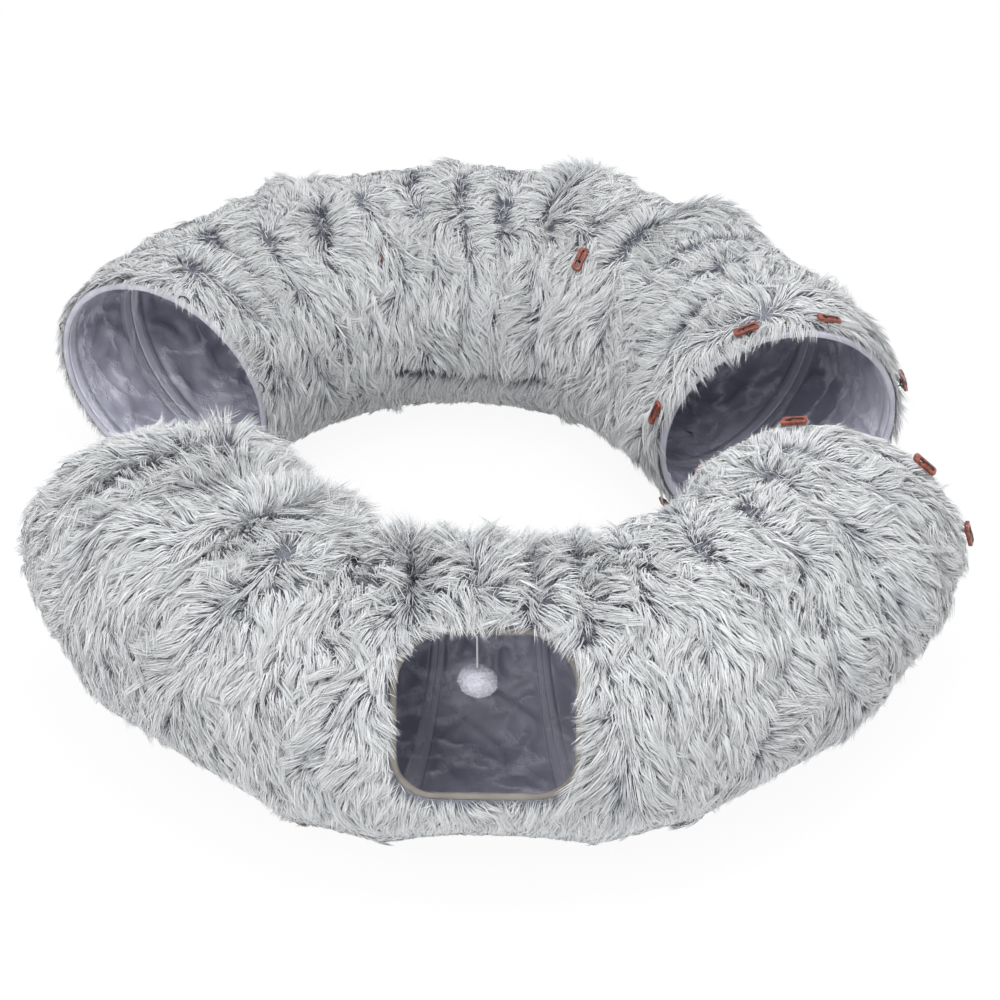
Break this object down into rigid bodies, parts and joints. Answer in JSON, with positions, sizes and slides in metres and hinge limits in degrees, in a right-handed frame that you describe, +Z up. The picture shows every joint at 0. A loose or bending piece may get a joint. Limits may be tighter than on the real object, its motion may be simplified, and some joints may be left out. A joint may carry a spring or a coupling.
{
  "type": "cat tunnel",
  "caption": "Plush cat tunnel laid out as two half rings of hooped sections, with a window, a pompom hanging in it and toggles at the open ends.",
  "frame": {"origin": "on the floor, under the middle of the object's outline", "axes": "+Z up, -Y towards the side with the window, +X to the right as seen from there"},
  "size_m": [0.9626, 0.9936, 0.2927],
  "materials": {
    "plush": "long pile plush, pale grey tips over slate roots",
    "lining": "smooth glossy polyester, creased",
    "spring_steel": "bare spring wire, hidden in the cloth",
    "rim_tape": "folded polyester tape",
    "window_tape": "taupe folded tape",
    "toggle": "reddish brown, satin",
    "pompom": "short pile",
    "string": "twisted cord"
  },
  "bodies": {
    "rear_middle": {"rear_middle_cover": "plush", "rear_middle_lining": "lining", "rear_middle_hoop": "spring_steel"},
    "front_middle": {"front_middle_cover": "plush", "front_middle_lining": "lining", "front_window_left_hoop": "spring_steel", "front_window_right_hoop": "spring_steel", "window_binding": "window_tape"},
    "rear_right_joint": {"rear_right_joint_inner_hoop": "spring_steel", "rear_right_joint_outer_hoop": "spring_steel", "rear_right_joint_toggles": "toggle"},
    "rear_right_section": {"rear_right_cover": "plush", "rear_right_lining": "lining", "rear_right_hoop": "spring_steel"},
    "rear_right_rim": {"rear_right_rim_hoop": "spring_steel", "rear_right_rim_binding": "rim_tape"},
    "rear_left_joint": {"rear_left_joint_inner_hoop": "spring_steel", "rear_left_joint_outer_hoop": "spring_steel", "rear_left_joint_toggles": "toggle"},
    "rear_left_section": {"rear_left_cover": "plush", "rear_left_lining": "lining", "rear_left_hoop": "spring_steel"},
    "rear_left_rim": {"rear_left_rim_hoop": "spring_steel", "rear_left_rim_binding": "rim_tape"},
    "front_right_joint": {"front_right_joint_inner_hoop": "spring_steel", "front_right_joint_outer_hoop": "spring_steel", "front_right_joint_toggles": "toggle"},
    "front_right_section": {"front_right_cover": "plush", "front_right_lining": "lining", "front_right_hoop": "spring_steel"},
    "front_right_rim": {"front_right_rim_hoop": "spring_steel", "front_right_rim_binding": "rim_tape"},
    "front_left_joint": {"front_left_joint_inner_hoop": "spring_steel", "front_left_joint_outer_hoop": "spring_steel", "front_left_joint_toggles": "toggle"},
    "front_left_section": {"front_left_cover": "plush", "front_left_lining": "lining", "front_left_hoop": "spring_steel"},
    "front_left_rim": {"front_left_rim_hoop": "spring_steel", "front_left_rim_binding": "rim_tape"},
    "pompom_tie": {"pompom_knot": "string"},
    "pompom": {"pompom_string": "string", "pompom_ball": "pompom"},
    "rear_right_rim_toggle_1_body": {"rear_right_rim_toggle_1": "toggle"},
    "rear_right_rim_toggle_2_body": {"rear_right_rim_toggle_2": "toggle"},
    "rear_right_rim_toggle_3_body": {"rear_right_rim_toggle_3": "toggle"},
    "rear_right_rim_toggle_4_body": {"rear_right_rim_toggle_4": "toggle"},
    "rear_right_rim_toggle_5_body": {"rear_right_rim_toggle_5": "toggle"},
    "rear_right_rim_toggle_6_body": {"rear_right_rim_toggle_6": "toggle"},
    "front_right_rim_toggle_1_body": {"front_right_rim_toggle_1": "toggle"},
    "front_right_rim_toggle_2_body": {"front_right_rim_toggle_2": "toggle"},
    "front_right_rim_toggle_3_body": {"front_right_rim_toggle_3": "toggle"},
    "front_right_rim_toggle_4_body": {"front_right_rim_toggle_4": "toggle"},
    "front_right_rim_toggle_5_body": {"front_right_rim_toggle_5": "toggle"},
    "front_right_rim_toggle_6_body": {"front_right_rim_toggle_6": "toggle"}
  },
  "joints": [
    {"name": "front_half_slide", "type": "slide", "parent": "rear_middle", "child": "front_middle", "axis": [0, -1, 0], "range_m": [0, 0.3]},
    {"name": "rear_right_fold", "type": "hinge", "parent": "rear_middle", "child": "rear_right_joint", "pos_m": [-0.043, -0.019, 0], "axis": [0, 0, 1], "range_deg": [0, 18.92], "deforming": ["rear_middle_cover", "rear_middle_lining"]},
    {"name": "rear_right_section_fold", "type": "hinge", "parent": "rear_right_joint", "child": "rear_right_section", "pos_m": [-0.043, -0.019, 0], "axis": [0, 0, 1], "range_deg": [0, 21.32], "deforming": ["rear_right_cover", "rear_right_lining"]},
    {"name": "rear_right_rim_fold", "type": "hinge", "parent": "rear_right_section", "child": "rear_right_rim", "pos_m": [-0.043, -0.019, 0], "axis": [0, 0, 1], "range_deg": [0, 16.54]},
    {"name": "rear_left_fold", "type": "hinge", "parent": "rear_middle", "child": "rear_left_joint", "pos_m": [-0.043, -0.019, 0], "axis": [0, 0, -1], "range_deg": [0, 18.92], "deforming": ["rear_middle_cover", "rear_middle_lining"]},
    {"name": "rear_left_section_fold", "type": "hinge", "parent": "rear_left_joint", "child": "rear_left_section", "pos_m": [-0.043, -0.019, 0], "axis": [0, 0, -1], "range_deg": [0, 27.71], "deforming": ["rear_left_cover", "rear_left_lining"]},
    {"name": "rear_left_rim_fold", "type": "hinge", "parent": "rear_left_section", "child": "rear_left_rim", "pos_m": [-0.043, -0.019, 0], "axis": [0, 0, -1], "range_deg": [0, 10.15]},
    {"name": "front_right_fold", "type": "hinge", "parent": "front_middle", "child": "front_right_joint", "pos_m": [0, 0, 0], "axis": [0, 0, -1], "range_deg": [0, 9.56], "deforming": ["front_middle_cover", "front_middle_lining"]},
    {"name": "front_right_section_fold", "type": "hinge", "parent": "front_right_joint", "child": "front_right_section", "pos_m": [0, 0, 0], "axis": [0, 0, -1], "range_deg": [0, 17.19], "deforming": ["front_right_cover", "front_right_lining"]},
    {"name": "front_right_rim_fold", "type": "hinge", "parent": "front_right_section", "child": "front_right_rim", "pos_m": [0, 0, 0], "axis": [0, 0, -1], "range_deg": [0, 20.67]},
    {"name": "front_left_fold", "type": "hinge", "parent": "front_middle", "child": "front_left_joint", "pos_m": [0, 0, 0], "axis": [0, 0, 1], "range_deg": [0, 8.6], "deforming": ["front_middle_cover", "front_middle_lining"]},
    {"name": "front_left_section_fold", "type": "hinge", "parent": "front_left_joint", "child": "front_left_section", "pos_m": [0, 0, 0], "axis": [0, 0, 1], "range_deg": [0, 20.95], "deforming": ["front_left_cover", "front_left_lining"]},
    {"name": "front_left_rim_fold", "type": "hinge", "parent": "front_left_section", "child": "front_left_rim", "pos_m": [0, 0, 0], "axis": [0, 0, 1], "range_deg": [0, 16.91]},
    {"name": "pompom_swing_out", "type": "hinge", "parent": "front_middle", "child": "pompom_tie", "pos_m": [-0.0127, -0.37925, 0.25901], "axis": [1, 0, 0], "range_deg": [-60, 60]},
    {"name": "pompom_swing_aside", "type": "hinge", "parent": "pompom_tie", "child": "pompom", "pos_m": [-0.0127, -0.37925, 0.25901], "axis": [0, 1, 0], "range_deg": [-40, 40]},
    {"name": "rear_toggle_1_tip", "type": "hinge", "parent": "rear_right_rim", "child": "rear_right_rim_toggle_1_body", "pos_m": [0.44061, 0.09109, 0.18264], "axis": [0.3022, 0.0645, -0.9511], "range_deg": [0, 70]},
    {"name": "rear_toggle_2_tip", "type": "hinge", "parent": "rear_right_rim", "child": "rear_right_rim_toggle_2_body", "pos_m": [0.35564, 0.07295, 0.26953], "axis": [0.9301, 0.1985, -0.309], "range_deg": [0, 70]},
    {"name": "rear_toggle_3_tip", "type": "hinge", "parent": "rear_right_rim", "child": "rear_right_rim_toggle_3_body", "pos_m": [0.27385, 0.05549, 0.26953], "axis": [0.9301, 0.1985, 0.309], "range_deg": [0, 70]},
    {"name": "rear_toggle_4_tip", "type": "hinge", "parent": "rear_right_rim", "child": "rear_right_rim_toggle_4_body", "pos_m": [0.18888, 0.03735, 0.18264], "axis": [0.3022, 0.0645, 0.9511], "range_deg": [0, 70]},
    {"name": "rear_toggle_5_tip", "type": "hinge", "parent": "rear_right_rim", "child": "rear_right_rim_toggle_5_body", "pos_m": [0.20768, 0.04136, 0.06128], "axis": [-0.5748, -0.1227, 0.809], "range_deg": [0, 70]},
    {"name": "rear_toggle_6_tip", "type": "hinge", "parent": "rear_right_rim", "child": "rear_right_rim_toggle_6_body", "pos_m": [0.42181, 0.08708, 0.06128], "axis": [-0.5748, -0.1227, -0.809], "range_deg": [0, 70]},
    {"name": "front_toggle_1_tip", "type": "hinge", "parent": "front_right_rim", "child": "front_right_rim_toggle_1_body", "pos_m": [0.46786, -0.14738, 0.18264], "axis": [-0.2921, 0.1009, 0.9511], "range_deg": [0, 70]},
    {"name": "front_toggle_2_tip", "type": "hinge", "parent": "front_right_rim", "child": "front_right_rim_toggle_2_body", "pos_m": [0.4214, -0.13133, 0.25031], "axis": [-0.7647, 0.2641, 0.5878], "range_deg": [0, 70]},
    {"name": "front_toggle_3_tip", "type": "hinge", "parent": "front_right_rim", "child": "front_right_rim_toggle_3_body", "pos_m": [0.30668, -0.09172, 0.26953], "axis": [-0.899, 0.3104, -0.309], "range_deg": [0, 70]},
    {"name": "front_toggle_4_tip", "type": "hinge", "parent": "front_right_rim", "child": "front_right_rim_toggle_4_body", "pos_m": [0.22456, -0.06337, 0.18264], "axis": [-0.2921, 0.1009, -0.9511], "range_deg": [0, 70]},
    {"name": "front_toggle_5_tip", "type": "hinge", "parent": "front_right_rim", "child": "front_right_rim_toggle_5_body", "pos_m": [0.24272, -0.06964, 0.06128], "axis": [0.5556, -0.1918, -0.809], "range_deg": [0, 70]},
    {"name": "front_toggle_6_tip", "type": "hinge", "parent": "front_right_rim", "child": "front_right_rim_toggle_6_body", "pos_m": [0.44969, -0.14111, 0.06128], "axis": [0.5556, -0.1918, 0.809], "range_deg": [0, 70]}
  ],
  "couplings": [
    {"joint": "rear_right_section_fold", "follows": "rear_right_fold", "ratio": 1.1263},
    {"joint": "rear_right_rim_fold", "follows": "rear_right_fold", "ratio": 0.8737},
    {"joint": "rear_left_section_fold", "follows": "rear_left_fold", "ratio": 1.4641},
    {"joint": "rear_left_rim_fold", "follows": "rear_left_fold", "ratio": 0.5359},
    {"joint": "front_right_section_fold", "follows": "front_right_fold", "ratio": 1.7971},
    {"joint": "front_right_rim_fold", "follows": "front_right_fold", "ratio": 2.1611},
    {"joint": "front_left_section_fold", "follows": "front_left_fold", "ratio": 2.4349},
    {"joint": "front_left_rim_fold", "follows": "front_left_fold", "ratio": 1.9651}
  ]
}
